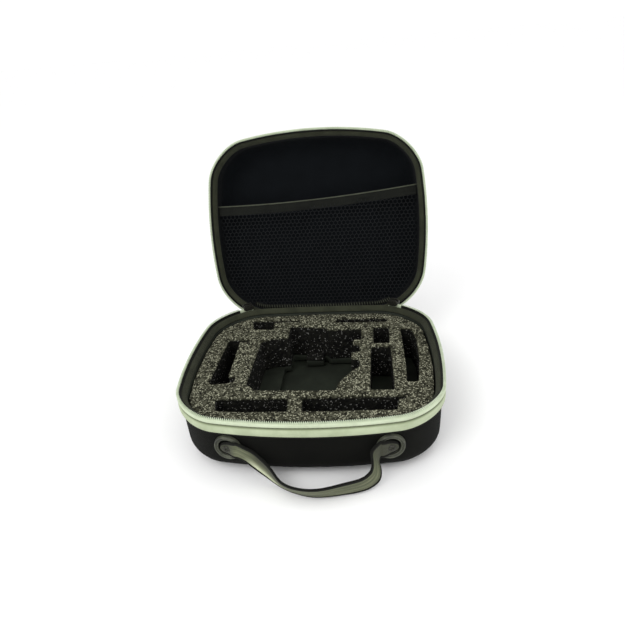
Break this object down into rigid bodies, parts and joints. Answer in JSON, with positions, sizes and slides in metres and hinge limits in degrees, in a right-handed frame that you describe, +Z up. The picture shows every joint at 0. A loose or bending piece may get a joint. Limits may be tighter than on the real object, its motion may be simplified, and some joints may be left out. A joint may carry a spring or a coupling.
{
  "type": "miniature carry case",
  "caption": "Small moulded zip-up carry case standing open, with a die-cut foam insert in the base, a net pocket in the hinged lid and a webbing handle on the front.",
  "frame": {"origin": "centre of the flat underside of the base, on the surface it stands on", "axes": "+X to the right, +Y to the back where the lid is hinged, +Z up; stored with the lid open"},
  "size_m": [0.175, 0.2286, 0.1751],
  "materials": {
    "shell": "matte",
    "lining": "matte",
    "binding": "matte",
    "gusset": "matte",
    "zip_tape": "matte",
    "zip_coil": "satin",
    "foam": "matte",
    "pad": "matte",
    "net": "matte",
    "elastic": "matte",
    "webbing": "matte",
    "moulding": "satin",
    "metal": "satin"
  },
  "bodies": {
    "base": {"base_shell": "shell", "base_lining": "lining", "base_rim_binding": "binding", "base_zip_tape": "zip_tape", "base_zip_coil": "zip_coil", "hinge_gusset_root": "gusset", "foam_insert": "foam", "foam_base_pad": "pad", "handle_ring_left": "moulding", "handle_ring_right": "moulding", "strap_end_left": "webbing", "strap_end_right": "webbing", "handle_rivet_left": "metal", "handle_rivet_right": "metal", "rivet_washer_left": "metal", "rivet_washer_right": "metal"},
    "lid": {"lid_shell": "shell", "lid_lining": "lining", "lid_rim_binding": "binding", "lid_zip_tape": "zip_tape", "lid_zip_coil": "zip_coil", "mesh_pocket": "net", "pocket_elastic": "elastic", "hinge_gusset": "gusset"},
    "handle": {"handle_strap": "webbing"},
    "slider_left": {"zip_slider_left": "metal"},
    "slider_right": {"zip_slider_right": "metal"},
    "pull_left": {"zip_pull_left": "metal"},
    "pull_right": {"zip_pull_right": "metal"}
  },
  "joints": [
    {"name": "lid_hinge", "type": "hinge", "parent": "base", "child": "lid", "pos_m": [0, 0.0699, 0.0355], "axis": [1, 0, 0], "range_deg": [0, 102.5]},
    {"name": "handle_swing", "type": "hinge", "parent": "base", "child": "handle", "pos_m": [0, -0.0734, 0.0229], "axis": [-1, 0, 0], "range_deg": [0, 75]},
    {"name": "slider_left_slide", "type": "slide", "parent": "base", "child": "slider_left", "axis": [-0.9133, -0.4072, 0], "range_m": [0, 0.002]},
    {"name": "slider_right_slide", "type": "slide", "parent": "base", "child": "slider_right", "axis": [0.9133, -0.4072, 0], "range_m": [0, 0.002]},
    {"name": "pull_left_swing", "type": "hinge", "parent": "slider_left", "child": "pull_left", "pos_m": [-0.06058, 0.0743, 0.0438], "axis": [0.9133, 0.4072, 0], "range_deg": [0, 35]},
    {"name": "pull_right_swing", "type": "hinge", "parent": "slider_right", "child": "pull_right", "pos_m": [0.06058, 0.0743, 0.0438], "axis": [0.9133, -0.4072, 0], "range_deg": [0, 35]}
  ]
}
